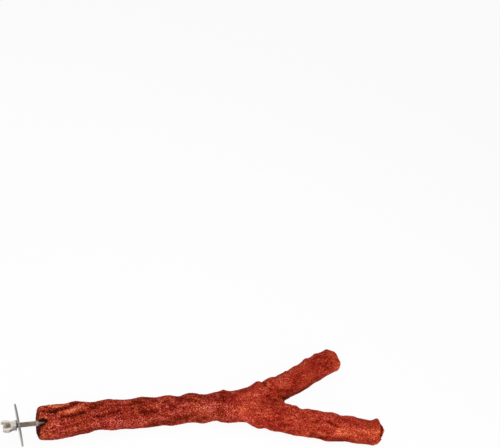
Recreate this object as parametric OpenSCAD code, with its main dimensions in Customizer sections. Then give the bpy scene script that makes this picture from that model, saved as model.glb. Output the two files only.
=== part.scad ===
// Forked bird perch: a chewable coated branch that clamps to a cage wire
// with a hanger bolt, a wide washer and a wing nut.
// X runs along the bolt and the trunk, from the nut towards the fork. Z is up as the perch lies.
// The origin is on the bolt axis, in the plane of the trunk's end.
// Left is +Y and right is -Y. Angles round a limb start at its left side and pass over its top.

/* [Trunk] */
// Length from the trunk's end to the point where the axes of the two prongs part
trunk_len = 166; // [120:1:220]
// Width of the coated trunk half way along
trunk_w = 24.5; // [20:0.5:30]
// Rounding of the trunk's end
trunk_round = 3.5; // [1:0.5:5]

/* [Prongs] */
// Length of the right prong, from the parting point to its end
right_len = 131.5; // [80:0.5:160]
// Width of the right prong
right_w = 23.7; // [18:0.1:28]
// Angle of the right prong to the trunk
right_angle = 18; // [14:0.5:26]
// Length of the left prong, from the parting point to its end
left_len = 126; // [80:0.5:160]
// Width of the left prong
left_w = 22.7; // [18:0.1:28]
// Angle of the left prong to the trunk
left_angle = 21; // [14:0.5:26]
// Angle at which both prongs sink to the table
droop_angle = 0.6; // [0:0.1:3]
// Rounding of the prongs' ends
prong_round = 1.6; // [0.5:0.1:4]

/* [Coating] */
// Thickness of the chewable coating
coating_t = 2; // [1.5:0.1:3]
// Height of the bark's ridges and knobs
bark_h = 1; // [0:0.1:1.2]

/* [Wire groove] */
// Width of the V groove at its mouth, which seats the cage wire
groove_w = 8; // [6:0.5:10]
// Depth of the V groove
groove_d = 5; // [3:0.5:7]
// Turn of the groove about the bolt, away from upright
groove_turn = 25; // [0:5:90]

/* [Hanger bolt] */
// Outer diameter of the thread
bolt_d = 4; // [3:0.1:5]
// Length that stands out of the trunk
bolt_reach = 25.5; // [20:0.5:40]
// Length of the wood screw inside the trunk
screw_len = 26; // [15:1:40]
// Pitch of the machine thread
thread_pitch = 0.7; // [0.5:0.05:1]
// Pitch of the wood screw's thread
screw_pitch = 1.6; // [1:0.1:2.5]

/* [Washer] */
// Outer diameter of the washer
washer_d = 31.75; // [20:0.25:40]
// Thickness of the washer
washer_t = 1.2; // [0.8:0.1:2]
// Play between the bolt and the rim of the washer's hole
washer_play = 0.6; // [0.4:0.1:1.5]
// Open space between the trunk's end and the washer
wire_gap = 13.7; // [4:0.1:19]
// Lean of the washer on the bolt, within its play
lean_angle = 11.6; // [0:0.2:14]
// Side of the bolt on which the washer leans away from the trunk
lean_turn = 70; // [0:5:355]

/* [Wing nut] */
// Span from wing tip to wing tip
wing_span = 20; // [16:0.5:30]
// Height of the nut over its wings
nut_h = 10.5; // [8.5:0.5:16]
// Thickness of each wing
wing_t = 1.9; // [1.5:0.1:3]
// Diameter of the hub at its base
hub_d = 8; // [7:0.5:12]
// Height of the hub
hub_h = 4.6; // [3.5:0.1:6]
// Turn of the wings about the bolt, away from upright
wing_turn = 57; // [0:1:180]

/* [Hidden] */
$fn = 48;
// How far each cut runs past what it cuts
cut = 0.5;
// Space between the wood screw and its hole
bore_clear = 0.03;
// Space between the bolt's thread and the nut
thread_clear = 0.06;
// Space between the washer and the nut
face_gap = 0.1;
// Height of the machine thread and of the wood screw's thread
thread_h = 0.613 * thread_pitch;
screw_h = 0.35 * screw_pitch;

// Number of sides round a limb, an even number, and length of a step along it
skin_sides_count = 28;
skin_step = 3.8;
wood_sides_count = 16;
wood_step = 8;

// Sideways offset and height of the prongs' parting point from the bolt axis
fork_y = -0.16 * trunk_w;
fork_z = -0.165 * trunk_w;
// Place of the crotch, where the skins of the two prongs meet
prong_w = (right_w + left_w) / 2;
crotch_x = trunk_len + prong_w / 2 / sin((right_angle + left_angle) / 2);
// The last ring that goes round both prongs, a little before the crotch
last_x = crotch_x - 0.37 * prong_w;
// How far the skin sinks between the prongs at that ring, as a share of its height, and how
// square the ring's outline becomes there
waist_share = 0.34;
square_share = 0.5;

// Tables along the trunk. The first number of each row is the place as a share of trunk_len, and
// the second is a share of trunk_w: sideways bow, rise, width, height, and the bumps (+) and
// hollows (-) along the upper left flank and the lower right flank.
bow_shares = [[0, 0.09], [0.2, 0.12], [0.39, 0.155], [0.5, 0.13], [0.6, 0.14], [0.7, 0.12], [0.77, 0.1],
    [0.87, 0.045], [0.93, 0], [1, -0.035], [1.09, -0.05], [1.2, -0.12]];
rise_shares = [[0, -0.165], [1.2, -0.165]];
width_shares = [[0, 1.01], [0.03, 1.03], [0.065, 1.08], [0.12, 1.1], [0.17, 1.06], [0.28, 1.02],
    [0.39, 0.99], [0.5, 1], [0.6, 1], [0.71, 0.97], [0.82, 1], [0.87, 0.99], [0.93, 1.07],
    [0.98, 1.2], [1.035, 1.4], [1.09, 1.6], [1.145, 1.8], [1.2, 2]];
height_shares = [[0, 1], [0.12, 1.04], [0.3, 1], [0.8, 1], [1, 1.02], [1.2, 0.98]];
upper_shares = [[0, 0.025], [0.08, 0.01], [0.125, -0.015], [0.175, 0.045], [0.205, -0.025],
    [0.25, -0.045], [0.3, -0.01], [0.34, 0], [0.365, -0.035], [0.39, -0.08], [0.415, -0.085],
    [0.44, -0.045], [0.5, -0.01], [0.565, -0.06], [0.63, 0], [0.655, -0.06], [0.685, -0.115],
    [0.745, 0.015], [0.785, 0], [0.82, -0.065], [0.85, -0.08], [0.87, -0.02], [0.93, 0.06],
    [0.96, 0.01], [1.02, -0.085], [1.085, -0.09], [1.14, 0.055], [1.16, -0.02], [1.2, -0.01]];
lower_shares = [[0, -0.035], [0.025, -0.01], [0.06, 0.02], [0.11, 0], [0.15, -0.035], [0.23, -0.07],
    [0.262, -0.13], [0.285, -0.085], [0.33, -0.04], [0.4, 0.015], [0.5, 0.01], [0.6, 0],
    [0.68, 0.03], [0.73, -0.03], [0.795, 0.035], [0.83, 0.01], [0.875, -0.075], [0.95, 0.02],
    [1.005, -0.1], [1.045, -0.13], [1.075, 0.03], [1.15, 0.05], [1.2, 0.02]];
// Angle of the upper flank on each limb. The lower flank lies opposite.
trunk_flank_angle = 37;
right_flank_angle = 39;
left_flank_angle = 23;
// How far each flank spreads round its limb, in degrees
flank_spread_angle = 34;

// Tables along each prong, from the crotch (0) to its end (1), as shares of its width: its girth,
// and the bumps and hollows along its upper and lower flanks
girth_shares = [[0, 1.04], [0.2, 1.02], [0.5, 1], [0.85, 1], [1, 0.98]];
right_upper_shares = [[0, 0], [0.07, 0.02], [0.15, -0.02], [0.2, -0.03], [0.24, -0.09], [0.28, -0.01],
    [0.37, 0.015], [0.45, -0.045], [0.53, 0.025], [0.61, -0.03], [0.68, 0.01], [0.8, -0.02],
    [0.9, -0.015], [1, 0.05]];
right_lower_shares = [[0, 0], [0.15, 0.025], [0.34, 0.02], [0.44, -0.015], [0.51, 0.03], [0.59, 0.02],
    [0.66, -0.06], [0.8, -0.075], [0.9, -0.095], [1, -0.07]];
left_upper_shares = [[0, 0.03], [0.065, 0.02], [0.136, -0.02], [0.21, -0.045], [0.28, -0.02],
    [0.35, -0.055], [0.43, 0.035], [0.5, -0.01], [0.58, 0.075], [0.655, 0.015], [0.705, 0.075],
    [0.77, 0.07], [0.85, -0.01], [0.93, 0.025], [1, 0.015]];
left_lower_shares = [[0, 0.02], [0.32, 0.015], [0.47, 0.03], [0.63, -0.02], [0.7, -0.045], [0.82, -0.035],
    [0.95, -0.025], [1, -0.02]];

// Ridges (+) and hollows (-) of the bark on the trunk: place and length as shares of trunk_len,
// angle, spread and drift of the angle in degrees, and height as a share of bark_h
ridge_shares = [
    [0.10, 0.13, 97, 11, -26, 1.1], [0.12, 0.16, 65, 12, -30, 1.2], [0.13, 0.15, 81, 8, -28, -1],
    [0.25, 0.06, 93, 12, 0, -1], [0.44, 0.06, 91, 13, 0, -0.9], [0.77, 0.07, 59, 14, 0, -0.8],
    [0.35, 0.22, 70, 18, 20, 0.6], [0.62, 0.2, 120, 16, -20, 0.7], [0.55, 0.12, 30, 16, 0, -0.4],
    [0.3, 0.25, 160, 20, 25, 0.7], [0.7, 0.25, 270, 22, -20, 0.8], [0.5, 0.2, 310, 18, 15, -0.7]];

function blend(a, b, u) = a + (b - a) * u;
function bump(d) = exp(-d * d);
// The turn from one angle to another, from -180 to 180
function turn_to(a, b) = (a - b + 540) % 360 - 180;

// Small knobs of the bark at place x along a limb of width w and angle a round it
function knobs(x, a, w) = bark_h * (0.25 * sin(360 * x / (1.15 * w) + 2 * a)
    + 0.2 * sin(360 * x / (0.62 * w) - 3 * a + 70)
    + 0.2 * sin(360 * x / (3.2 * w) + 5 * a)
    + 0.12 * cos(360 * x / (1.9 * w) - 7 * a));

// One ridge of the table at share u of the trunk and angle a
function ridge(r, u, a) = let (along = (u - r[0]) / r[1])
    bark_h * r[5] * bump(2 * along) * bump(turn_to(a, r[2] + r[4] * along) / r[3]);
function ridges(u, a) = [for (r = ridge_shares) ridge(r, u, a)] * [for (r = ridge_shares) 1];
// Bumps and hollows along the two flanks of a limb of width w
function flanks(u, a, w, upper, lower, middle) =
    w * (lookup(u, upper) * bump(turn_to(a, middle) / flank_spread_angle)
        + lookup(u, lower) * bump(turn_to(a, middle + 180) / flank_spread_angle));

// How far the skin draws in at distance d from an end with rounding r
function drawn_in(d, r) = d >= r ? 0 : r - sqrt(r * r - (r - d) * (r - d));

// A point of the ring round the trunk at place x and angle a, with the skin moved out by grow
function trunk_point(x, a, grow) =
    let (u = x / trunk_len,
        fork = max(0, (x - trunk_len) / (last_x - trunk_len)),
        skin = grow - drawn_in(x + grow, trunk_round) + knobs(x, a, trunk_w) + ridges(u, a)
            + flanks(u, a, trunk_w, upper_shares, lower_shares, trunk_flank_angle),
        half_w = trunk_w / 2 * lookup(u, width_shares) + skin,
        waist = 1 - waist_share * fork * bump(3 * cos(a)),
        half_h = (trunk_w / 2 * lookup(u, height_shares) + skin) * waist)
    [x, trunk_w * lookup(u, bow_shares) + half_w * cos(a),
        trunk_w * lookup(u, rise_shares) + half_h * sign(sin(a)) * pow(abs(sin(a)), 1 - square_share * fork)];

// A prong's length, width, turn from the trunk, upper and lower bumps and the angle of its upper flank
right_prong = [right_len, right_w, -right_angle, right_upper_shares, right_lower_shares, right_flank_angle];
left_prong = [left_len, left_w, left_angle, left_upper_shares, left_lower_shares, left_flank_angle];

// A point of the ring round a prong at distance s from the parting point and angle a
function prong_point(s, a, grow, prong) =
    let (len = prong[0],
        w = prong[1],
        turn = prong[2],
        u = (s - crotch_x + trunk_len) / (len - crotch_x + trunk_len),
        skin = grow - drawn_in(len + grow - s, prong_round) + knobs(s + trunk_len, a, w)
            + flanks(u, a, w, prong[3], prong[4], prong[5]),
        r = w / 2 * lookup(u, girth_shares) + skin,
        side = r * cos(a))
    [trunk_len + s * cos(turn) - side * sin(turn),
        fork_y + s * sin(turn) + side * cos(turn),
        fork_z - s * sin(droop_angle) + r * sin(a)];

// Places of the rings, closer together where an end is rounded, as shares of its rounding
end_shares = [0, 0.12, 0.4];
tip_shares = [0.6, 0.88, 1];
// Place of the prongs' first rings, as a share of the way from the parting point to the crotch
first_share = 1.06;
function steps(from, to, step) =
    let (n = ceil((to - from) / step))
    [for (k = [0 : n]) blend(from, to, k / n)];
function trunk_places(grow, step) =
    concat([for (k = end_shares) k * trunk_round - grow], steps(trunk_round - grow, last_x, step));
function prong_places(grow, len, step) =
    concat(steps(first_share * (crotch_x - trunk_len), len + grow - prong_round, step),
        [for (k = tip_shares) len + grow - prong_round * (1 - k)]);

// Triangles between two rings of n points each, where ring(i, j) is the number of point j of ring i
function band(ring, i, n) = [for (j = [0 : n - 1]) each
    [[ring(i, j), ring(i + 1, j), ring(i, j + 1)], [ring(i + 1, j), ring(i + 1, j + 1), ring(i, j + 1)]]];

// The skin of the trunk and both prongs as one closed surface
module branch_form(grow, around, step) {
    half = around / 2;
    angles = [for (j = [0 : around - 1]) 90 + 180 * j / half];
    trunk_xs = trunk_places(grow, step);
    right_ss = prong_places(grow, right_len, step);
    left_ss = prong_places(grow, left_len, step);
    trunk_n = len(trunk_xs);
    right_n = len(right_ss);
    left_n = len(left_ss);
    top = trunk_point(last_x, 90, grow);
    low = trunk_point(last_x, 270, grow);
    mid_z = (top.z + low.z) / 2;
    saddle = [for (k = [1 : half - 1]) let (a = 90 - 180 * k / half) [
        blend(last_x, crotch_x + grow, cos(a)),
        blend(top.y, low.y, k / half),
        mid_z + (top.z - mid_z) * sin(a)]];
    saddle_at = trunk_n * around;
    right_at = saddle_at + half - 1;
    left_at = right_at + right_n * around;
    function wrap(j) = (j + around) % around;
    trunk_ring = function (i, j) i * around + wrap(j);
    // Ring -1 of each prong is half of the trunk's last ring and the saddle
    right_ring = function (i, j) i >= 0 ? right_at + i * around + wrap(j)
        : wrap(j) <= half ? trunk_ring(trunk_n - 1, j) : saddle_at + around - wrap(j) - 1;
    left_ring = function (i, j) i >= 0 ? left_at + i * around + wrap(j)
        : wrap(j) == 0 || wrap(j) >= half ? trunk_ring(trunk_n - 1, j) : saddle_at + wrap(j) - 1;
    polyhedron(
        points = concat(
            [for (x = trunk_xs, a = angles) trunk_point(x, a, grow)],
            saddle,
            [for (s = right_ss, a = angles) prong_point(s, a, grow, right_prong)],
            [for (s = left_ss, a = angles) prong_point(s, a, grow, left_prong)]),
        faces = concat(
            [[for (j = [0 : around - 1]) trunk_ring(0, j)]],
            [for (i = [0 : trunk_n - 2]) each band(trunk_ring, i, around)],
            [for (i = [-1 : right_n - 2]) each band(right_ring, i, around)],
            [for (i = [-1 : left_n - 2]) each band(left_ring, i, around)],
            [[for (j = [around - 1 : -1 : 0]) right_ring(right_n - 1, j)]],
            [[for (j = [around - 1 : -1 : 0]) left_ring(left_n - 1, j)]]),
        convexity = 8);
}

// The V groove across the trunk's end, with each wall moved into the wood by deeper
module wire_groove(deeper) {
    slope = groove_w / 2 / groove_d;
    depth = groove_d + deeper * sqrt(1 + 1 / slope / slope);
    out = slope * (depth + cut);
    rotate([groove_turn, 0, 0])
        linear_extrude(2 * trunk_w, center = true)
            polygon([[depth, 0], [-cut, out], [-cut, -out]]);
}

// A round piece along the bolt axis: its outline is turned about X, from place, radius pairs
module turned(outline) {
    rotate([0, 90, 0])
        rotate_extrude()
            polygon([for (p = outline) [p.y, p.x]]);
}

// The hole for the wood screw, with a drill's point
module screw_hole() {
    r = bolt_d / 2 + bore_clear;
    turned([[-cut, 0], [-cut, r], [screw_len, r], [screw_len + r, 0]]);
}

module branch_blank() {
    difference() {
        branch_form(-coating_t, wood_sides_count, wood_step);
        wire_groove(coating_t);
    }
}

// The wooden branch under the coating
module branch_core() {
    color("burlywood")
        difference() {
            branch_blank();
            screw_hole();
        }
}

// The chewable coating, which wraps the wood all over, the sawn ends and the wire groove too
module chew_coating() {
    color([0.62, 0.19, 0.14])
        difference() {
            branch_form(0, skin_sides_count, skin_step);
            branch_blank();
            wire_groove(0);
            screw_hole();
        }
}

// A hanger bolt: machine thread outside the trunk, plain collar at its end and wood screw inside
module hanger_bolt() {
    r = bolt_d / 2;
    turns = floor((bolt_reach - washer_t) / thread_pitch);
    thread_end = -bolt_reach + turns * thread_pitch;
    screw_turns = floor((screw_len - groove_d - bolt_d) / screw_pitch);
    screw_start = groove_d;
    screw_end = screw_start + screw_turns * screw_pitch;
    color("gray")
        turned(concat(
            [[-bolt_reach, 0], [-bolt_reach, r - thread_h]],
            [for (k = [0 : turns - 1]) each [
                [-bolt_reach + (k + 0.45) * thread_pitch, r],
                [-bolt_reach + (k + 0.55) * thread_pitch, r],
                [-bolt_reach + (k + 1) * thread_pitch, r - thread_h]]],
            [[thread_end + thread_h, r], [screw_start - screw_h, r]],
            [for (k = [0 : screw_turns - 1]) each [
                [screw_start + k * screw_pitch, r - screw_h],
                [screw_start + (k + 0.4) * screw_pitch, r - screw_h],
                [screw_start + (k + 0.7) * screw_pitch, r]]],
            [[screw_end, r - screw_h], [screw_len, 0]]));
}

// The wide washer, free on the bolt and leaning on it
module washer() {
    edge = washer_t / 5;
    half = washer_t / 2;
    hole_r = bolt_d / 2 + washer_play;
    r = washer_d / 2;
    color("silver")
        translate([-wire_gap - half, 0, 0])
            rotate(a = lean_angle, v = [0, -sin(lean_turn), cos(lean_turn)])
                turned([[-half, hole_r], [-half, r - edge], [edge - half, r], [half - edge, r], [half, r - edge],
                    [half, hole_r]]);
}

// An arc of n steps about a centre, and the outline of one wing: how far out, and how far up the nut
function arc(centre, r, from, to, n) =
    [for (k = [0 : n]) let (a = blend(from, to, k / n)) centre + r * [cos(a), sin(a)]];
function wing_side() =
    let (tip_r = 0.15 * wing_span, corner = 0.09 * wing_span, x = wing_span / 2, root = 0.34 * hub_d)
    concat(
        [[root, 0.12 * hub_h]],
        [[0.62 * hub_d, 0.12 * hub_h]],
        arc([x - corner, 0.5 * nut_h + corner], corner, -60, 0, 4),
        arc([x - tip_r, nut_h - tip_r], tip_r, 0, 110, 6),
        [[0.58 * hub_d, 0.97 * hub_h], [root, 0.8 * hub_h]]);

// The wing nut, seated on the washer where that leans towards it
module wing_nut() {
    base = -wire_gap - washer_t / 2 * (1 + 1 / cos(lean_angle)) - hub_d / 2 * tan(lean_angle) - face_gap;
    dome = 0.12 * hub_d;
    top = base - nut_h - cut;
    bore_r = bolt_d / 2 + thread_clear;
    side = wing_side();
    color("lightgray")
        difference() {
            union() {
                turned([[base, 0], [base, hub_d / 2], [base - hub_h + dome, 0.44 * hub_d],
                    [base - hub_h, 0.44 * hub_d - dome], [base - hub_h, 0]]);
                for (flip = [0, 180])
                    rotate([wing_turn + flip, 0, 0])
                        translate([base, 0, 0])
                            mirror([1, 0, 0])
                                rotate([90, 0, 0])
                                    linear_extrude(wing_t, center = true)
                                        polygon([for (p = side) [p.y, p.x]]);
            }
            turned([[base + cut, 0], [base + cut, bore_r], [top, bore_r], [top, 0]]);
        }
}

branch_core();
chew_coating();
hanger_bolt();
washer();
wing_nut();
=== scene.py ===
"""The looks of a forked, coated bird perch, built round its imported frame.

Lengths are in millimetres until a mesh is made, angles are in degrees, and names that end in
_px are places or lengths in the photograph's own frame of 500 x 448 pixels.
"""
import math

import bmesh
import bpy
import numpy as np
from mathutils import Matrix, Vector
from mathutils.bvhtree import BVHTree


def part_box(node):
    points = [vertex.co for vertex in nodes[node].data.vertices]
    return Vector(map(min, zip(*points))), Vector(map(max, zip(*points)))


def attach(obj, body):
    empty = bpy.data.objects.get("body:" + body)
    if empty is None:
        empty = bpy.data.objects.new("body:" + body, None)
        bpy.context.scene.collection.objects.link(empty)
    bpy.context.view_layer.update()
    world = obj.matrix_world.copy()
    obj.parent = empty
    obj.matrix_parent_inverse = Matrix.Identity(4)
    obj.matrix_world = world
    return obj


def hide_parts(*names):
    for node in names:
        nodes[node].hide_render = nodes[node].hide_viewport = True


MM = 0.001

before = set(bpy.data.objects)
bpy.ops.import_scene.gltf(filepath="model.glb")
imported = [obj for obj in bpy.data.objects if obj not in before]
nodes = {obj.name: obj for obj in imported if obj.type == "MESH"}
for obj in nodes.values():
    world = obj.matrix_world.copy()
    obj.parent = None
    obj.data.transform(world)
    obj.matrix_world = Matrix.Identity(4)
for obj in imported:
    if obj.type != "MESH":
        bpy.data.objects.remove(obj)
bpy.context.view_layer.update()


def new_object(name, data):
    """An object in the scene, at the origin."""
    result = bpy.data.objects.new(name, data)
    bpy.context.scene.collection.objects.link(result)
    return result


# Camera: where the photograph was taken from, as seen from the perch

PHOTO_W_PX = 500
PHOTO_H_PX = 448
SENSOR_W = 36
CAMERA_AT = Vector((-97.2, -316.4, 466.3))
CAMERA_TARGET = Vector((277.6, 259.1, -17))
CAMERA_ROLL = 22
CAMERA_LENS = 50.66
FOCAL_PX = CAMERA_LENS / SENSOR_W * PHOTO_W_PX

forward = (CAMERA_TARGET - CAMERA_AT).normalized()
level = forward.cross(Vector((0, 0, 1))).normalized()
upright = level.cross(forward)
roll = math.radians(CAMERA_ROLL)
picture_right = level * math.cos(roll) + upright * math.sin(roll)
picture_up = upright * math.cos(roll) - level * math.sin(roll)


def make_camera():
    data = bpy.data.cameras.new("camera")
    data.sensor_width = SENSOR_W
    data.lens = CAMERA_LENS
    data.clip_start = 10 * MM
    data.clip_end = 20000 * MM
    camera = new_object("camera", data)
    turn = Matrix((picture_right, picture_up, -forward)).transposed()
    camera.matrix_world = Matrix.Translation(CAMERA_AT * MM) @ turn.to_4x4()
    bpy.context.scene.camera = camera


make_camera()


# Noise: the same on every run, worked out from each point's place


def scramble(i, j, k, seed):
    """A random number from 0 to 1 for each whole-number place, by a hash with large primes."""
    n = i * 73856093 ^ j * 19349663 ^ k * 83492791 ^ seed * 2654435761
    n = (n ^ (n >> 13)) * 1274126177 & 0xFFFFFFFF
    n = (n ^ (n >> 16)) * 2246822519 & 0xFFFFFFFF
    return ((n ^ (n >> 15)) & 0xFFFFFF) / float(0x1000000)


def smooth_noise(p, seed):
    """Value noise from -1 to 1 at points p, whose features are about one unit apart."""
    base = np.floor(p).astype(np.int64)
    f = p - base
    f = f * f * f * (f * (f * 6 - 15) + 10)
    total = np.zeros(len(p))
    for corner in range(8):
        step = np.array([corner & 1, corner >> 1 & 1, corner >> 2 & 1])
        share = np.prod(np.where(step == 1, f, 1 - f), axis=1)
        total += share * scramble(*(base + step).T, seed)
    return total * 2 - 1


def layered_noise(p, seed, layers):
    """Value noise with finer layers on it, each half as large and half as high."""
    total = np.zeros(len(p))
    for n in range(layers):
        shifted = p * 2**n + 17.3 * n
        total += smooth_noise(shifted, seed + n) / 2**n
    return total


def cell_noise(p, seed):
    """Distance to the nearest scattered point, and that point's own random number."""
    base = np.floor(p).astype(np.int64)
    near = np.full(len(p), np.inf)
    value = np.zeros(len(p))
    for step in np.ndindex(3, 3, 3):
        cell = base + step - 1
        jitter = np.stack([scramble(*cell.T, seed + s) for s in (1, 2, 3)], axis=1)
        distance = np.linalg.norm(cell + jitter - p, axis=1)
        closer = distance < near
        near = np.where(closer, distance, near)
        value = np.where(closer, scramble(*cell.T, seed), value)
    return near, value


def fade(low, high, x):
    """0 at low, 1 at high, and smooth between them; low may be the larger one."""
    t = np.clip((x - low) / (high - low), 0, 1)
    return t * t * (3 - 2 * t)


# Meshes


def box_mm(node):
    """Lowest and highest corner of a CAD node, in millimetres."""
    low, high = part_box(node)
    return np.array(low) / MM, np.array(high) / MM


def new_piece(name, mesh, body, material, replaces):
    """A finished mesh, as a piece that rides on a body and takes the place of CAD nodes."""
    piece = new_object(name, mesh)
    mesh.materials.clear()
    mesh.materials.append(material)
    mesh.polygons.foreach_set("use_smooth", [True] * len(mesh.polygons))
    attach(piece, body)
    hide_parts(*replaces)
    return piece


def mesh_from(name, points_mm, faces):
    mesh = bpy.data.meshes.new(name)
    mesh.from_pydata([tuple(p) for p in np.asarray(points_mm) * MM], [], faces)
    mesh.update()
    return mesh


def points_of(mesh):
    """A mesh's points, in millimetres."""
    flat = np.zeros(len(mesh.vertices) * 3)
    mesh.vertices.foreach_get("co", flat)
    return flat.reshape(-1, 3) / MM


def set_points(mesh, points_mm):
    mesh.vertices.foreach_set("co", (points_mm * MM).astype(np.float32).ravel())
    mesh.update()


def normals_of(mesh):
    flat = np.zeros(len(mesh.vertices) * 3, np.float32)
    mesh.vertex_normals.foreach_get("vector", flat)
    return flat.reshape(-1, 3).astype(float)


def add_attribute(mesh, name, values):
    attribute = mesh.attributes.new(name, "FLOAT", "POINT")
    attribute.data.foreach_set("value", values.astype(np.float32))


def tree_of(node):
    """A search tree over a CAD node's surface, in metres."""
    surface = bmesh.new()
    surface.from_mesh(nodes[node].data)
    tree = BVHTree.FromBMesh(surface)
    surface.free()
    return tree


def remeshed(mesh, voxel_mm):
    """A copy of a closed mesh on an even grid of small faces."""
    helper = new_object("helper", mesh)
    modifier = helper.modifiers.new("even", "REMESH")
    modifier.mode = "VOXEL"
    modifier.voxel_size = voxel_mm * MM
    graph = bpy.context.evaluated_depsgraph_get()
    result = bpy.data.meshes.new_from_object(helper.evaluated_get(graph))
    bpy.data.objects.remove(helper)
    return result


def relax(mesh, rounds):
    """Moves each point half of the way to the middle of its neighbours, several times."""
    points = points_of(mesh)
    edges = np.zeros(len(mesh.edges) * 2, np.int64)
    mesh.edges.foreach_get("vertices", edges)
    a, b = edges.reshape(-1, 2).T
    size = len(points)
    count = np.bincount(a, minlength=size) + np.bincount(b, minlength=size)
    for _ in range(rounds):
        sums = [np.bincount(a, column[b], size) + np.bincount(b, column[a], size) for column in points.T]
        points += 0.5 * (np.stack(sums, axis=1) / count[:, None] - points)
    set_points(mesh, points)


# Materials


def srgb(red, green, blue):
    """A colour from 0 to 255 as the linear values that the shaders take."""
    linear = [
        c / 12.92 if c <= 0.04045 else ((c + 0.055) / 1.055) ** 2.4
        for c in (red / 255, green / 255, blue / 255)
    ]
    return (*linear, 1)


class Nodes:
    """The node tree of a material or a world, with short calls to add and join nodes."""

    def __init__(self, owner):
        owner.use_nodes = True
        self.owner = owner
        self.tree = owner.node_tree
        self.shader = self.tree.nodes.get("Principled BSDF")

    def add(self, kind, settings=None, **inputs):
        """A new node with its settings, and its inputs by name, with _ for a space."""
        node = self.tree.nodes.new(kind)
        for key, value in (settings or {}).items():
            setattr(node, key, value)
        for key, value in inputs.items():
            self.put(node, key.replace("_", " "), value)
        return node

    def put(self, node, key, value):
        """Joins or sets an input, which is given by its name or by its number as text."""
        socket = node.inputs[int(key)] if key.isdigit() else node.inputs[key]
        if isinstance(value, bpy.types.NodeSocket):
            self.tree.links.new(value, socket)
        else:
            socket.default_value = value

    def place(self):
        return self.add("ShaderNodeTexCoord").outputs["Object"]

    def attribute(self, name):
        return self.add("ShaderNodeAttribute", {"attribute_name": name}).outputs["Fac"]

    def noise(self, size_mm, detail=3, vector=None):
        node = self.add("ShaderNodeTexNoise", Scale=1 / (size_mm * MM), Detail=detail, Roughness=0.6)
        self.put(node, "Vector", vector or self.place())
        return node.outputs["Fac"]

    def warped(self, size_mm, amount_mm):
        """The place on the object, shifted by noise so that what is drawn there turns ragged."""
        noise = self.add("ShaderNodeTexNoise", Scale=1 / (size_mm * MM), Detail=2.0)
        self.put(noise, "Vector", self.place())
        shift = self.add("ShaderNodeVectorMath", {"operation": "SCALE"}, Scale=amount_mm * MM)
        self.put(shift, "0", noise.outputs["Color"])
        total = self.add("ShaderNodeVectorMath", {"operation": "ADD"})
        self.put(total, "0", shift.outputs["Vector"])
        self.put(total, "1", self.place())
        return total.outputs["Vector"]

    def cells(self, size_mm, vector):
        return self.add("ShaderNodeTexVoronoi", Scale=1 / (size_mm * MM), Vector=vector)

    def math(self, operation, a, b=0.0, c=0.0):
        node = self.add("ShaderNodeMath", {"operation": operation})
        for n, value in enumerate((a, b, c)):
            self.put(node, str(n), value)
        return node.outputs[0]

    def spread(self, value, amount, base=0.0, middle=0.5):
        """base, plus an amount of how far the value lies above or below its middle."""
        return self.math("MULTIPLY_ADD", self.math("SUBTRACT", value, middle), amount, base)

    def ramp(self, factor, stops):
        """Colours by a factor; each stop is a place from 0 to 1 and a colour from 0 to 255."""
        node = self.add("ShaderNodeValToRGB", Fac=factor)
        points = node.color_ramp.elements
        while len(points) < len(stops):
            points.new(0.5)
        for point, (at, colour) in zip(points, stops):
            point.position = at
            point.color = srgb(*colour)
        return node.outputs["Color"]

    def bump(self, height, distance_mm, strength):
        node = self.add("ShaderNodeBump", Height=height, Distance=distance_mm * MM, Strength=strength)
        return node.outputs["Normal"]

    def sees_white(self):
        """1 for rays from the camera and for reflections, to which the surroundings are white."""
        path = self.add("ShaderNodeLightPath")
        return self.math("MAXIMUM", path.outputs["Is Camera Ray"], path.outputs["Is Glossy Ray"])


def new_material(name):
    return Nodes(bpy.data.materials.new(name))


# The coating's two families of colour, from its darkest pits to its palest grains
REDS = [
    (0.0, (58, 4, 1)),
    (0.2, (100, 12, 3)),
    (0.4, (136, 28, 14)),
    (0.55, (157, 40, 26)),
    (0.75, (184, 68, 54)),
    (1.0, (222, 126, 112)),
]
ORANGES = [
    (0.0, (62, 14, 2)),
    (0.2, (106, 28, 7)),
    (0.4, (148, 46, 20)),
    (0.55, (171, 58, 30)),
    (0.75, (201, 86, 52)),
    (1.0, (236, 148, 106)),
]


def coating_material():
    """Granular coating, whose grains speckle the tones and colours in the mesh's attributes."""
    m = new_material("chewable_coating")
    grain = m.cells(size_mm=0.62, vector=m.warped(size_mm=0.5, amount_mm=0.9))
    grain_gap = grain.outputs["Distance"]
    grain_value = m.add("ShaderNodeSeparateColor", Color=grain.outputs["Color"]).outputs["Red"]
    fine = m.noise(size_mm=0.4, detail=2)
    speckle = m.spread(grain_value, 0.76)
    speckle = m.spread(fine, 0.6, speckle)
    # Painted shade: darker in the gaps between grains
    speckle = m.spread(grain_gap, -0.5, speckle, middle=0.4)
    speckle = m.spread(m.noise(size_mm=0.16, detail=2), 0.5, speckle)
    tone = m.spread(m.noise(size_mm=9), 0.15, m.attribute("tone"))
    tone = m.math("MULTIPLY_ADD", speckle, m.attribute("contrast"), tone)
    warmth = m.spread(m.noise(size_mm=4), 1.2, m.attribute("warmth"))
    mix = m.add("ShaderNodeMix", {"data_type": "RGBA", "clamp_factor": True})
    m.put(mix, "0", m.math("ADD", warmth, 0.25))
    m.put(mix, "6", m.ramp(tone, REDS))
    m.put(mix, "7", m.ramp(tone, ORANGES))
    bright = m.add("ShaderNodeVectorMath", {"operation": "SCALE"}, Scale=m.attribute("painted_light_gain"))
    m.put(bright, "0", mix.outputs[2])
    m.put(m.shader, "Base Color", bright.outputs["Vector"])
    m.put(m.shader, "Roughness", 0.92)
    m.put(m.shader, "Diffuse Roughness", 0.7)
    m.put(m.shader, "Specular IOR Level", 0.08)
    height = m.math("MULTIPLY_ADD", grain_gap, -0.8, m.math("MULTIPLY", fine, 0.7))
    m.put(m.shader, "Normal", m.bump(height, distance_mm=0.35, strength=0.8))
    return m.owner


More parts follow.
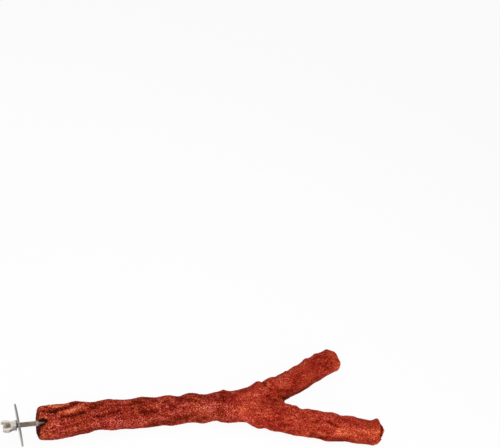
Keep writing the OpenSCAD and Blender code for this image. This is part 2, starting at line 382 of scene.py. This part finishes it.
def wood_material():
    """Pale raw wood with grain along the branch."""
    m = new_material("raw_wood")
    stretch = m.add("ShaderNodeMapping", Vector=m.place(), Scale=(0.12, 1, 1))
    grain = m.noise(size_mm=1.2, detail=5, vector=stretch.outputs["Vector"])
    m.put(m.shader, "Base Color", m.ramp(grain, [(0.3, (150, 108, 66)), (0.7, (208, 170, 118))]))
    m.put(m.shader, "Roughness", 0.75)
    m.put(m.shader, "Normal", m.bump(grain, distance_mm=0.2, strength=0.5))
    return m.owner


def metal_material(name, colours, roughness, mottle_mm, bump_mm):
    """Zinc-plated steel: a mottled tint, lighter or darker by the painted sheen and shade in its
    attribute, and small dents.
    """
    m = new_material(name)
    mottle = m.spread(m.noise(mottle_mm, detail=4), 0.9, m.attribute("painted_sheen_and_tint"))
    m.put(m.shader, "Base Color", m.ramp(mottle, colours))
    m.put(m.shader, "Metallic", 1.0)
    low, high = roughness
    m.put(m.shader, "Roughness", m.math("MULTIPLY_ADD", m.noise(mottle_mm / 3), high - low, low))
    m.put(m.shader, "Normal", m.bump(m.noise(mottle_mm / 5), bump_mm, strength=0.5))
    return m.owner


# Marks and bumps that the photograph shows, by their pixels


def mark(line_px, width_px, rise, tone, warmth=0.3):
    """A line, its width, and how far it stands out and how much lighter and more orange it is
    than what lies round it; below 0 it sinks in, or is darker, or is less orange."""
    return {"line_px": line_px, "width_px": width_px, "rise": rise, "tone": tone, "warmth": warmth}


# The ridges' lighter, more orange tone is partly the coating's own colour and partly a painted highlight
# on their crests
RIDGES = [
    # The clamp's end
    mark([(49, 406), (56, 406), (62, 405), (68, 403.5)], 3.8, 0.5, 0.38, 0.9),
    mark([(60, 414), (66, 412), (72, 410.5), (78, 407), (82, 405.5)], 3.8, 0.7, 0.32, 0.9),
    mark([(41, 413), (41, 418)], 3, 0.3, 0.22, 0.6),
    mark([(46, 417), (45.5, 418)], 2.5, 0.2, 0.25, 0.5),
    mark([(53, 424.5), (58, 424)], 5, 0.3, 0.16, 0.3),
    mark([(58, 416), (61, 417)], 2, 0.3, 0.3, 0.3),
    mark([(44, 436), (60, 435), (75, 430)], 7, 0.2, 0.08, 0.3),
    # The trunk
    mark([(88, 403), (90, 404)], 4, 0.2, 0.14, 0.1),
    mark([(96, 420.5), (100, 424)], 4.5, 0.2, 0.14, -0.3),
    mark([(104, 419), (110, 420)], 3.5, 0.2, 0.18, -0.3),
    mark([(120, 411), (131, 410)], 3, 0.2, 0.13, -0.2),
    mark([(155, 406), (156, 406)], 3, 0.2, 0.22, -0.2),
    mark([(160, 400.5), (161, 400.5)], 3.4, 0.2, 0.2, -0.3),
    mark([(162, 419), (166, 419)], 3, 0.2, 0.18, -0.3),
    mark([(167, 406), (168, 406)], 3, 0.2, 0.22, -0.2),
    mark([(163, 405.5), (170, 404.5), (178, 406)], 5, 0.1, -0.05, -0.2),
    mark([(200, 409), (207, 408), (212, 410)], 6, 0.3, 0.17, 0.1),
    # The fork
    mark([(228, 409), (236, 408), (245, 410)], 6, 0.2, 0.14, 0.3),
    mark([(230, 413), (240, 415), (251, 420)], 7, 0.2, 0.18, 0.2),
    mark([(240, 396), (250, 394), (258, 398)], 7, 0.3, 0.1, 0.1),
    mark([(246, 404), (254, 403)], 7, 0.2, 0.1, 0.1),
    # The upper prong
    mark([(268, 383), (268.5, 386)], 2, 0.3, 0.25),
    mark([(280, 384), (286, 386), (290, 385)], 6, 0.2, 0.1, 0.1),
    mark([(300, 386), (310, 378), (322, 369)], 5, 0.2, 0.06, 0.1),
    mark([(331, 354), (336, 361), (336, 366)], 6, 0.1, 0.12, 0.4),
    # The lower prong
    mark([(318, 434), (325, 435)], 5, 0.2, 0.15, 0.4),
    mark([(338, 432), (350, 431.5), (364, 432), (377, 432)], 8, 0.2, 0.11, 0.5),
    mark([(382.5, 430), (382.8, 435)], 1.6, 0.3, 0.3, 0.6),
]
# The hollows' darker tone is painted shade in the crevices, pits and undersides that they mark
HOLLOWS = [
    # The clamp's end
    mark([(41, 411), (47, 411), (52, 411.8), (57, 410), (62, 408.7)], 2.6, -0.9, -0.42),
    mark([(50, 412), (53, 412), (56, 410.5)], 2.6, -0.5, -0.25),
    mark([(62, 408.7), (68, 407), (74, 403.5), (78, 402.5)], 2.2, -0.8, -0.34),
    mark([(60, 417), (67, 416.2), (74, 415), (80, 413.2), (84, 411.8)], 3.2, -1.0, -0.5),
    mark([(66, 427), (78, 424), (91, 421)], 3.2, -0.4, -0.2),
    # The trunk
    mark([(86, 431.5), (93, 430), (100, 429)], 2, -0.3, -0.25),
    mark([(90, 408.5), (96, 406.5), (102, 404.5)], 3.2, -0.8, -0.36),
    mark([(94, 416.6), (104, 415.3), (110, 413.2), (119, 410.3)], 3.4, -0.7, -0.34),
    mark([(130, 404.5), (134, 403), (140, 401.5)], 3.2, -0.9, -0.4),
    mark([(140.5, 412.6), (146, 412.4), (151, 411.6), (157, 410.2)], 4.2, -0.9, -0.42),
    mark([(144, 398), (150, 397)], 2.6, -0.4, -0.3),
    mark([(145, 426.6), (158, 425.2)], 2.4, -0.2, -0.24),
    mark(
        [(150, 424), (163, 422.6), (173, 421.6), (178, 420.6), (184, 418.6), (191, 416.6)],
        width_px=4.8,
        rise=-0.5,
        tone=-0.3,
        warmth=0.5,
    ),
    mark([(152, 401), (156, 400.5)], 3.4, -0.4, -0.22),
    mark([(162, 414.5), (166, 416.5)], 3.4, -0.4, -0.2),
    mark([(163, 402), (168, 400.5)], 3, -0.5, -0.28),
    mark([(170, 404), (173, 408)], 5, -0.3, -0.14),
    mark([(177, 398.5), (184, 399), (190, 400), (196, 401.5)], 4.4, -0.7, -0.3),
    mark([(188, 394.3), (200, 394.8)], 2.4, -0.2, -0.25),
    mark([(198, 420), (205, 418)], 4, -0.4, -0.2),
    mark([(200, 396.5), (208, 398.5)], 3.4, -0.3, -0.16),
    # The neck and the fork
    mark([(213, 399), (218, 401)], 5, -0.5, -0.12),
    mark([(224, 392), (223, 398), (222, 403), (220.5, 410)], 7.6, -0.7, -0.2),
    mark([(231, 397), (237, 393.5), (243, 391.5), (251, 391)], 2.6, -0.5, -0.14),
    mark([(262, 381), (265, 384), (269, 388), (273, 391)], 2.4, -0.8, -0.28),
    mark([(262, 404), (268, 402), (276, 404)], 3, -0.4, -0.12),
    mark([(268, 396), (271, 399), (275, 401)], 3, -0.6, -0.3),
    mark([(270, 428), (279, 430), (288, 432)], 3, -0.2, -0.14),
    mark([(273, 396), (280, 397), (286, 400)], 2.4, -0.4, -0.2),
    mark([(280, 396), (285, 399), (290, 401)], 5, -0.5, -0.14),
    # The upper prong
    mark([(276, 390), (284, 391), (292, 391)], 3.4, -0.5, -0.26),
    mark([(281, 374.5), (286, 372), (289, 371)], 2, -0.2, -0.25),
    mark([(284, 400), (290, 397), (298, 394), (306, 390)], 4, -0.5, -0.15),
    mark([(290, 397.6), (295, 394.8), (300, 391.5), (313, 383)], 3.4, -0.2, -0.18),
    mark([(288, 385), (334, 358)], 24, 0, -0.05, 0.1),
    mark([(319, 353), (323, 350.5), (328, 350.5)], 2.5, -0.2, -0.2),
    # The lower prong
    mark([(313, 421), (318, 421)], 3, -0.5, -0.2),
    mark([(312, 435), (326, 438.5), (350, 441.5), (370, 443), (380, 441)], 5, -0.3, -0.26),
    mark([(330, 422), (333, 425), (336, 426)], 3.4, -0.6, -0.3),
    mark([(381.5, 424), (380.5, 430), (381.5, 438)], 1.6, -1.2, -0.55),
]


def bump(at_px, width_px, right_px, up_px):
    """A bump or dent in the outline: its place, its width, and how far it moves right and up."""
    return {"at_px": at_px, "width_px": width_px, "move_px": (right_px, up_px)}


BUMPS = [
    # The trunk
    bump((38, 436), 4, 0.9, 0.9),
    bump((88, 432), 9, 0, -0.9),
    bump((172, 425), 8, 0, -0.9),
    bump((207, 423), 8, 0, -0.5),
    # The fork
    bump((223.5, 390.5), 3, 0, 1),
    bump((251, 385), 9, 0, -1.2),
    bump((258.5, 382), 4, 0, 1.2),
    bump((263, 383), 5, 0, -1.2),
    bump((267, 430), 9, 0, 2.6),
    bump((280.5, 404), 6, 5, 0.2),
    # The upper prong
    bump((270, 378.5), 5, 0, 0.9),
    bump((285, 372), 3, 0, 1.2),
    bump((290, 369), 6, 0, -1.9),
    bump((300, 363.5), 5, 0, -2.2),
    bump((305, 359.5), 4, -0.3, 1.5),
    bump((310, 357), 5, 0, -1.1),
    bump((316, 353), 6, 0, 3),
    bump((327, 350), 5, 0, 1),
    bump((335, 354), 8, 0.8, 0.8),
    bump((341, 362), 7, 1, 0),
    # The lower prong
    bump((288, 407), 5, 0, 0.9),
    bump((296, 406.5), 4, 0, 1),
    bump((301, 408), 6, 0, -0.9),
    bump((373, 444), 6, 0, 0.9),
    bump((376, 420.5), 6, 0.6, 2.6),
    bump((379, 444), 7, -1, 2.2),
    bump((382, 430), 7, 2, 0),
    bump((382, 438), 2.6, -1.2, 0),
]


def to_pixels(points):
    """Where points fall in the photograph, in its pixels."""
    offset = points - np.array(CAMERA_AT)
    depth = offset @ np.array(forward)
    x = PHOTO_W_PX / 2 + FOCAL_PX * (offset @ np.array(picture_right)) / depth
    y = PHOTO_H_PX / 2 - FOCAL_PX * (offset @ np.array(picture_up)) / depth
    return np.stack([x, y], axis=1)


def from_line(places_px, line_px):
    """Each place's distance in pixels from a line through several pixels."""
    nearest = np.full(len(places_px), np.inf)
    for start, end in zip(line_px[:-1], line_px[1:]):
        start = np.array(start, float)
        way = np.array(end, float) - start
        share = np.clip((places_px - start) @ way / (way @ way), 0, 1)
        gap = np.linalg.norm(places_px - start - share[:, None] * way, axis=1)
        nearest = np.minimum(nearest, gap)
    return nearest


# Coating: an even skin over the CAD shape, and on it bark relief, grains and the marks

COATING_VOXEL = 0.55
SMOOTHING_ROUNDS = 12
WELD = 0.001
ON_WOOD = 0.01
BOLT_HOLE_PLAY = 0.06
THINNEST_COATING = 0.4
MIDDLE_TONE = 0.5

# How the photograph's marks and bumps are carried over to the points that it shows
RAY_START = 0.4
RAY_REACH = 500
PX_PER_MM = 1.37
MARK_TONE = 0.88

# Sizes of the bark's features, along a limb and across it where there are two
KNOB = 11
RIPPLE = (13, 4.5)
FURROW = (20, 5.5)
FURROW_PATCH = 26
STREAK = (8, 2.2)
FINE_STREAK = (4.5, 1.4)
PIT = (5.5, 2.8)
PATCH = (24, 9)
WARM_PATCH = 14
GRAIN = 1.2
CRUMB = 2.4

# The V groove across the trunk's end, its turn about the bolt, and the coating that fills it
GROOVE_TURN = 25
GROOVE_W = 8
GROOVE_DEPTH = 5
FAR_FILL = 4.4
FAR_FILL_STARTS = -1.8
FAR_FILL_FULL = -5.5
FILLED_ABOVE = 2.4
FILL_SLOPE_W = 0.9
APEX_PIT = 1.5

# The limbs, each as a start and an end; their bark runs along them
FORK_AT = np.array([166, -3.9, -4])
LIMBS = [
    (np.array([0, 0, 0]), FORK_AT),
    (FORK_AT, FORK_AT + [125, -40.6, 0]),
    (FORK_AT, FORK_AT + [117.6, 45.2, 0]),
]
LIMB_BLEND = 1.5

wood = tree_of("branch_core")


def from_wood(points):
    """Each point's distance from the wood."""
    return np.array([wood.find_nearest(Vector(p))[3] for p in points * MM]) / MM


def outer_skin():
    """The coating's outside as one closed surface, without the wall that lies on the wood."""
    skin = bmesh.new()
    skin.from_mesh(nodes["chew_coating"].data)
    bmesh.ops.remove_doubles(skin, verts=skin.verts, dist=WELD * MM)
    hole_r = box_mm("hanger_bolt")[1][1] + BOLT_HOLE_PLAY
    hidden = []
    for face in skin.faces:
        centre = face.calc_center_median()
        in_hole = math.hypot(centre.y, centre.z) < hole_r * MM and centre.x > 0
        if in_hole or wood.find_nearest(centre)[3] < ON_WOOD * MM:
            hidden.append(face)
    bmesh.ops.delete(skin, geom=hidden, context="FACES")
    bmesh.ops.holes_fill(skin, edges=[e for e in skin.edges if e.is_boundary])
    bmesh.ops.triangulate(skin, faces=skin.faces)
    mesh = bpy.data.meshes.new("skin")
    skin.to_mesh(mesh)
    skin.free()
    return mesh


def limb_places(points):
    """For each limb: its share in each point, and the point along, across and above it."""
    gaps = []
    places = []
    for start, end in LIMBS:
        way = (end - start) / np.linalg.norm(end - start)
        side = np.cross([0, 0, 1], way)
        side /= np.linalg.norm(side)
        offset = points - start
        along = offset @ way
        reach = np.clip(along, 0, np.linalg.norm(end - start))
        gaps.append(np.linalg.norm(offset - reach[:, None] * way, axis=1))
        places.append(np.stack([along, offset @ side, offset @ np.cross(way, side)], axis=1))
    gaps = np.array(gaps)
    shares = 1 / (gaps - gaps.min(axis=0) + LIMB_BLEND) ** 3
    return shares / shares.sum(axis=0), places


def bark_noise(points, size_mm, seed, layers=2):
    """Noise that is stretched along each limb; size_mm is its length and its width."""
    shares, places = limb_places(points)
    total = np.zeros(len(points))
    for n, (share, place) in enumerate(zip(shares, places)):
        stretched = place / [size_mm[0], size_mm[1], size_mm[1]]
        total += share * layered_noise(stretched, seed + 31 * n, layers)
    return total


def seen(mesh, points, normals):
    """1 where a point faces the camera with nothing in between, else 0, soft at the rim."""
    faces = [tuple(face.vertices) for face in mesh.polygons]
    tree = BVHTree.FromPolygons([tuple(p) for p in points * MM], faces)
    towards = np.array(CAMERA_AT) - points
    towards /= np.linalg.norm(towards, axis=1)[:, None]
    facing = np.sum(towards * normals, axis=1)
    result = fade(0.02, 0.2, facing)
    starts = (points + RAY_START * normals) * MM
    for n in np.nonzero(result > 0)[0]:
        if tree.ray_cast(Vector(starts[n]), Vector(towards[n]), RAY_REACH * MM)[0] is not None:
            result[n] = 0
    return result


def groove_fill(points, in_groove, along, across):
    """How far the skin moves out where coating fills the groove's far end and its upper side."""
    floor_x = GROOVE_DEPTH - FAR_FILL * fade(FAR_FILL_STARTS, FAR_FILL_FULL, along)
    upper_x = GROOVE_DEPTH * np.clip((FILLED_ABOVE - across) / FILL_SLOPE_W, 0, 1)
    return np.maximum(points[:, 0] - np.minimum(floor_x, upper_x), 0) * in_groove


def make_coating():
    """The coating as one fine mesh, with its tones as attributes that its material reads."""
    mesh = remeshed(outer_skin(), COATING_VOXEL)
    relax(mesh, SMOOTHING_ROUNDS)
    points = points_of(mesh)
    normals = normals_of(mesh)
    shown = seen(mesh, points, normals)
    places_px = to_pixels(points)

    # Relief and tones of one kind on every side; where the photograph shows the bark, its own
    # crevices take the place of most furrows
    knobs = layered_noise(points / KNOB, seed=5, layers=2)
    ripples = bark_noise(points, RIPPLE, seed=11, layers=3)
    furrow_lines = fade(0.3, 0.0, np.abs(bark_noise(points, FURROW, seed=23)))
    furrow_patches = fade(0.0, 0.55, layered_noise(points / FURROW_PATCH, seed=41, layers=2))
    furrows = furrow_lines * furrow_patches * (1 - 0.75 * shown)
    streaks = bark_noise(points, STREAK, seed=97)
    fine_streaks = bark_noise(points, FINE_STREAK, seed=127)
    pits = fade(0.35, 0.95, bark_noise(points, PIT, seed=103))
    patches = bark_noise(points, PATCH, seed=109)
    grain_gap, grain_value = cell_noise(points / GRAIN, seed=53)
    crumb_gap, crumb_value = cell_noise(points / CRUMB, seed=67)
    grains = (0.62 - grain_gap) * (0.35 + 1.1 * grain_value)
    crumbs = (0.6 - crumb_gap) * (crumb_value - 0.35)
    rise = 0.22 * knobs + 0.24 * ripples + 0.1 * streaks - 0.6 * furrows - 0.15 * pits
    rise += 0.32 * grains + 0.25 * crumbs
    # The tones carry painted shade: darker in the furrows, the pits and the gaps between grains
    tone = 0.03 * knobs + 0.05 * ripples + 0.08 * streaks + 0.06 * fine_streaks
    tone = tone + 0.08 * patches - 0.25 * furrows - 0.1 * pits
    tone += 0.2 * grains + 0.08 * crumbs
    warmth = 0.45 * layered_noise(points / WARM_PATCH, seed=71, layers=3)

    # The clamp's end: painted shade darkens its face and the groove, which is deepest behind the bolt
    turn = math.radians(GROOVE_TURN)
    along = points @ [0, -math.sin(turn), math.cos(turn)]
    across = points @ [0, math.cos(turn), math.sin(turn)]
    in_groove = fade(GROOVE_W / 2 + 0.6, GROOVE_W / 2, np.abs(across))
    in_groove *= fade(GROOVE_DEPTH + 1, GROOVE_DEPTH, points[:, 0]) * fade(0.1, 0.5, -normals[:, 0])
    end_face = fade(0.8, 0.1, points[:, 0]) * fade(0.6, 0.9, -normals[:, 0])
    apex = in_groove * fade(3, 1.2, np.abs(across)) * fade(-1, 2, along)
    tone -= 0.3 * in_groove * fade(FILLED_ABOVE, 1.6, across) + 0.15 * apex
    tone -= end_face * (0.1 + 0.45 * fade(-1, -4, across))
    rise *= 1 - 0.6 * in_groove
    rise -= APEX_PIT * apex

    # Broad tones: painted light makes the fork and the prongs lighter than the trunk, and they are more
    # even
    beyond = fade(142, 170, points[:, 0])
    painted_light_gain = 1.04 + 0.17 * beyond
    contrast = 1 - 0.25 * beyond
    tone += 0.06 * fade(195, 215, points[:, 0])

    ragged = 0.35 * smooth_noise(points / 2.4, seed=83) + 0.25 * smooth_noise(points / 1.1, seed=89)
    for item in RIDGES + HOLLOWS:
        gap = from_line(places_px, item["line_px"]) / (item["width_px"] / 2)
        share = shown * fade(1.5, 0.3, gap + ragged)
        rise += share * item["rise"] * (0.8 + 0.4 * crumb_value)
        tone += MARK_TONE * share * item["tone"] * (0.75 + 0.5 * grain_value)
        warmth += share * item["warmth"]

    rise = np.maximum(rise, THINNEST_COATING - from_wood(points))
    shaped = points + normals * rise[:, None]
    shaped[:, 0] -= groove_fill(points, in_groove, along, across)
    for item in BUMPS:
        share = fade(1, 0, np.linalg.norm(places_px - item["at_px"], axis=1) / item["width_px"])
        right, up = np.array(item["move_px"]) / PX_PER_MM
        shaped += share[:, None] * (right * np.array(picture_right) + up * np.array(picture_up))
    set_points(mesh, shaped)
    add_attribute(mesh, "tone", MIDDLE_TONE + tone)
    add_attribute(mesh, "warmth", warmth)
    add_attribute(mesh, "painted_light_gain", painted_light_gain)
    add_attribute(mesh, "contrast", contrast)
    return new_piece("coating", mesh, "perch", coating_material(), ["chew_coating"])


# Metal: the bolt with its two threads, the washer and the wing nut


def ring(x, r, sides):
    """A ring of points round the X axis; r is its radius, or one for each point."""
    angle = np.arange(sides) / sides * 2 * math.pi
    return np.stack([np.full(sides, x), r * np.cos(angle), r * np.sin(angle)], axis=1)


def rings_mesh(name, points, sides, looped):
    """Rings joined by faces, from the last to the first again if looped, else with flat ends."""
    count = len(points) // sides
    faces = []
    for n in range(count if looped else count - 1):
        here = n * sides
        there = (n + 1) % count * sides
        for k in range(sides):
            after = (k + 1) % sides
            faces.append((here + k, here + after, there + after, there + k))
    if not looped:
        last = (count - 1) * sides
        faces.append(tuple(reversed(range(sides))))
        faces.append(tuple(range(last, last + sides)))
    mesh = mesh_from(name, points, faces)
    outward = bmesh.new()
    outward.from_mesh(mesh)
    bmesh.ops.recalc_face_normals(outward, faces=outward.faces)
    outward.to_mesh(mesh)
    outward.free()
    return mesh


def off_axis(points):
    """Each point's distance from the bolt's axis."""
    return np.hypot(points[:, 1], points[:, 2])


BOLT_SIDES = 28
BOLT_PITCH = 0.7
BOLT_DEPTH = 0.4
BOLT_CHAMFER = 0.7
BOLT_CHAMFER_DEPTH = 0.6
BOLT_RUNOUT = 0.6
COLLAR = (-1.7, 5)
SCREW_PITCH = 1.6
SCREW_DEPTH = 0.55
SCREW_RUNIN = 1
SCREW_TAPER = 6
SCREW_POINT_R = 0.05
TIP_BRASS_AND_HIGHLIGHT = 1.1


def thread_height(x, pitch):
    """0 in the root of a thread and 1 on its crest, both slightly flat, for the ring at x."""
    place = (x / pitch - np.arange(BOLT_SIDES) / BOLT_SIDES) % 1
    return np.clip(1.35 * (1 - np.abs(2 * place - 1)) - 0.15, 0, 1)


def make_bolt():
    """A hanger bolt: machine thread outside, a plain collar, and wood screw in the trunk."""
    low, high = box_mm("hanger_bolt")
    tip = low[0]
    point = high[0]
    full_r = high[1]

    def radius_at(x):
        if x < COLLAR[0]:
            fade_out = float(fade(COLLAR[0], COLLAR[0] - BOLT_RUNOUT, x))
            chamfer = min(1, (x - tip) / BOLT_CHAMFER)
            thread_r = full_r - BOLT_DEPTH * fade_out * (1 - thread_height(x, BOLT_PITCH))
            return np.minimum(thread_r, full_r - BOLT_CHAMFER_DEPTH * (1 - chamfer))
        if x < COLLAR[1]:
            return full_r
        fade_in = float(fade(COLLAR[1], COLLAR[1] + SCREW_RUNIN, x))
        narrow = min(1, (point - x) / SCREW_TAPER) ** 0.7
        thread_r = full_r - SCREW_DEPTH * fade_in * (1 - thread_height(x, SCREW_PITCH))
        return np.maximum(thread_r * narrow, SCREW_POINT_R)

    xs = np.concatenate(
        [
            [tip],
            np.arange(tip + 0.1, COLLAR[0], BOLT_PITCH / 7),
            np.linspace(COLLAR[0], COLLAR[1], 4),
            np.arange(COLLAR[1] + 0.2, point, SCREW_PITCH / 8),
            [point],
        ]
    )
    rings = np.concatenate([ring(x, radius_at(x), BOLT_SIDES) for x in xs])
    mesh = rings_mesh("bolt", rings, BOLT_SIDES, looped=False)

    # Painted shade in the thread roots, a painted highlight on the stretch near the trunk, painted shade
    # where it goes into the trunk, and a brassy tip with a painted highlight on it
    points = points_of(mesh)
    crest = fade(full_r - 0.35, full_r - 0.05, off_axis(points))
    highlit_stretch = fade(-9, -5, points[:, 0])
    shaded_inside = fade(-1.2, 1, points[:, 0])
    brassy_highlit_tip = fade(tip + 2.5, tip + 1, points[:, 0])
    shank = np.minimum(0.33 + 0.55 * crest + 0.25 * highlit_stretch, 0.8) * (1 - 0.6 * shaded_inside)
    add_attribute(mesh, "painted_sheen_and_tint", shank * (1 - brassy_highlit_tip) + TIP_BRASS_AND_HIGHLIGHT * brassy_highlit_tip)
    material = metal_material(
        "bolt_zinc",
        colours=[(0.0, (84, 72, 67)), (0.9, (192, 175, 164)), (1.0, (216, 188, 158))],
        roughness=(0.35, 0.55),
        mottle_mm=2,
        bump_mm=0.05,
    )
    new_piece("bolt", mesh, "perch", material, ["hanger_bolt"])


WASHER_SIDES = 112
WASHER_X = -14.3
WASHER_T = 1.2
WASHER_R = 15.875
WASHER_HOLE_R = 2.6
WASHER_LEAN = 11.6
WASHER_LEAN_TURN = 70


def make_washer():
    """A punched washer: rounded on the die's side, sharp with a slight burr on the other."""
    outer = WASHER_R
    hole = WASHER_HOLE_R
    far = WASHER_T / 2
    near = -far
    profile = [
        # The die's side, from the hole to the rim
        (far - 0.05, hole + 0.02),
        (far, hole + 0.14),
        (far, hole + 2),
        (far, outer * 0.6),
        (far, outer - 0.35),
        (far - 0.03, outer - 0.18),
        (far - 0.12, outer - 0.06),
        (far - 0.3, outer),
        # The burred side, back to the hole
        (near + 0.12, outer),
        (near + 0.03, outer - 0.02),
        (near, outer - 0.08),
        (near + 0.03, outer - 0.3),
        (near, outer - 0.6),
        (near, outer * 0.6),
        (near, hole + 2),
        (near + 0.01, hole + 0.5),
        (near + 0.1, hole + 0.14),
        (near + 0.3, hole),
    ]
    points = np.concatenate([ring(x, r, WASHER_SIDES) for x, r in profile])
    side = math.radians(WASHER_LEAN_TURN)
    hinge = Vector((0, -math.sin(side), math.cos(side)))
    lean = np.array(Matrix.Rotation(math.radians(WASHER_LEAN), 3, hinge))
    leaning = points @ lean.T + [WASHER_X, 0, 0]
    mesh = rings_mesh("washer_plate", leaning, WASHER_SIDES, looped=True)

    # Painted reflections: a darker rim, painted brighter along its lower part
    rim = fade(outer - 0.5, outer - 0.1, off_axis(points))
    painted_lower_reflection = fade(-1, -9, points @ np.array(picture_up))
    add_attribute(mesh, "painted_sheen_and_tint", 1 - rim * (1 - 0.55 * painted_lower_reflection))
    material = metal_material(
        "washer_zinc",
        colours=[(0.0, (129, 126, 120)), (1.0, (198, 193, 186))],
        roughness=(0.3, 0.5),
        mottle_mm=3,
        bump_mm=0.04,
    )
    new_piece("washer_plate", mesh, "washer", material, ["washer"])


NUT_VOXEL = 0.2
NUT_SMOOTHING_ROUNDS = 5
WING_TURN = 57


def make_wing_nut():
    """The wing nut with the soft edges and fillets of a forging, with painted reflections that make its
    broad faces and hub brighter than its edges, and painted shade round the hub's seat.
    """
    mesh = remeshed(nodes["wing_nut"].data.copy(), NUT_VOXEL)
    relax(mesh, NUT_SMOOTHING_ROUNDS)
    points = points_of(mesh)
    turn = math.radians(WING_TURN)
    across = np.array([0, math.cos(turn), math.sin(turn)])
    broad = fade(0.55, 0.9, np.abs(normals_of(mesh) @ across))
    hub = fade(4.4, 3.9, off_axis(points))
    seat = points[:, 0].max()
    seat_rim = hub * fade(seat - 1.3, seat - 0.6, points[:, 0])
    # Painted reflections: broad faces and hub brighter than the edges; painted shade at the rim of the
    # hub's seat
    bright = np.maximum(np.maximum(0.8 * broad, 0.45), 0.72 * hub)
    add_attribute(mesh, "painted_sheen_and_tint", bright - 0.6 * seat_rim)
    material = metal_material(
        "nut_zinc",
        colours=[(0.0, (104, 100, 95)), (0.45, (181, 177, 171)), (1.0, (238, 233, 226))],
        roughness=(0.18, 0.35),
        mottle_mm=2,
        bump_mm=0.06,
    )
    new_piece("forged_wing_nut", mesh, "wing_nut", material, ["wing_nut"])


coating = make_coating()
nodes["branch_core"].data.materials.clear()
nodes["branch_core"].data.materials.append(wood_material())
make_bolt()
make_washer()
make_wing_nut()


# Floor, background and light

FLOOR_HALF = 4000
FLOOR_WHITE = 0.94
SKY_LIGHT = 0.18
WHITE = (1, 1, 1, 1)
MIDDLE = Vector((140, 0, 0))


def make_floor(z):
    """A pale floor under the perch, white in the picture but for the shadow on it."""
    half = FLOOR_HALF
    corners = [(-half, -half, z), (half, -half, z), (half, half, z), (-half, half, z)]
    floor = new_object("floor", mesh_from("floor", corners, [(0, 1, 2, 3)]))
    m = new_material("white_floor")
    m.put(m.shader, "Base Color", (0.95, 0.95, 0.95, 1))
    m.put(m.shader, "Roughness", 1.0)
    white = m.add("ShaderNodeEmission", Color=WHITE, Strength=1.0)
    mix = m.add("ShaderNodeMixShader", Fac=m.math("MULTIPLY", m.sees_white(), FLOOR_WHITE))
    m.put(mix, "1", m.shader.outputs[0])
    m.put(mix, "2", white.outputs[0])
    m.put(m.tree.nodes["Material Output"], "Surface", mix.outputs[0])
    floor.data.materials.append(m.owner)


def make_world():
    """A white background that lights the perch only a little."""
    world = bpy.data.worlds.new("world")
    bpy.context.scene.world = world
    w = Nodes(world)
    strength = w.add("ShaderNodeMapRange", Value=w.sees_white(), To_Min=SKY_LIGHT, To_Max=1.0)
    background = w.tree.nodes["Background"]
    w.put(background, "Strength", strength.outputs["Result"])
    w.put(background, "Color", WHITE)


def make_lamp(name, at_mm, size_mm, power):
    """A round soft lamp that faces the perch's middle and doesn't show in the metal."""
    data = bpy.data.lights.new(name, "AREA")
    data.shape = "DISK"
    data.size = size_mm * MM
    data.energy = power
    lamp = new_object(name, data)
    lamp.visible_glossy = False
    lamp.location = at_mm * MM
    lamp.rotation_mode = "QUATERNION"
    lamp.rotation_quaternion = (MIDDLE * MM - at_mm * MM).to_track_quat("-Z", "Y")


make_floor(points_of(coating.data)[:, 2].min())
make_world()
key_at = MIDDLE - forward * 600 + picture_right * 150 + picture_up * 120
top_at = MIDDLE - forward * 320 + picture_up * 460 + picture_right * 150
make_lamp("key", key_at, size_mm=1300, power=6.05)
make_lamp("top", top_at, size_mm=700, power=1.15)

bpy.context.scene.view_settings.view_transform = "Standard"
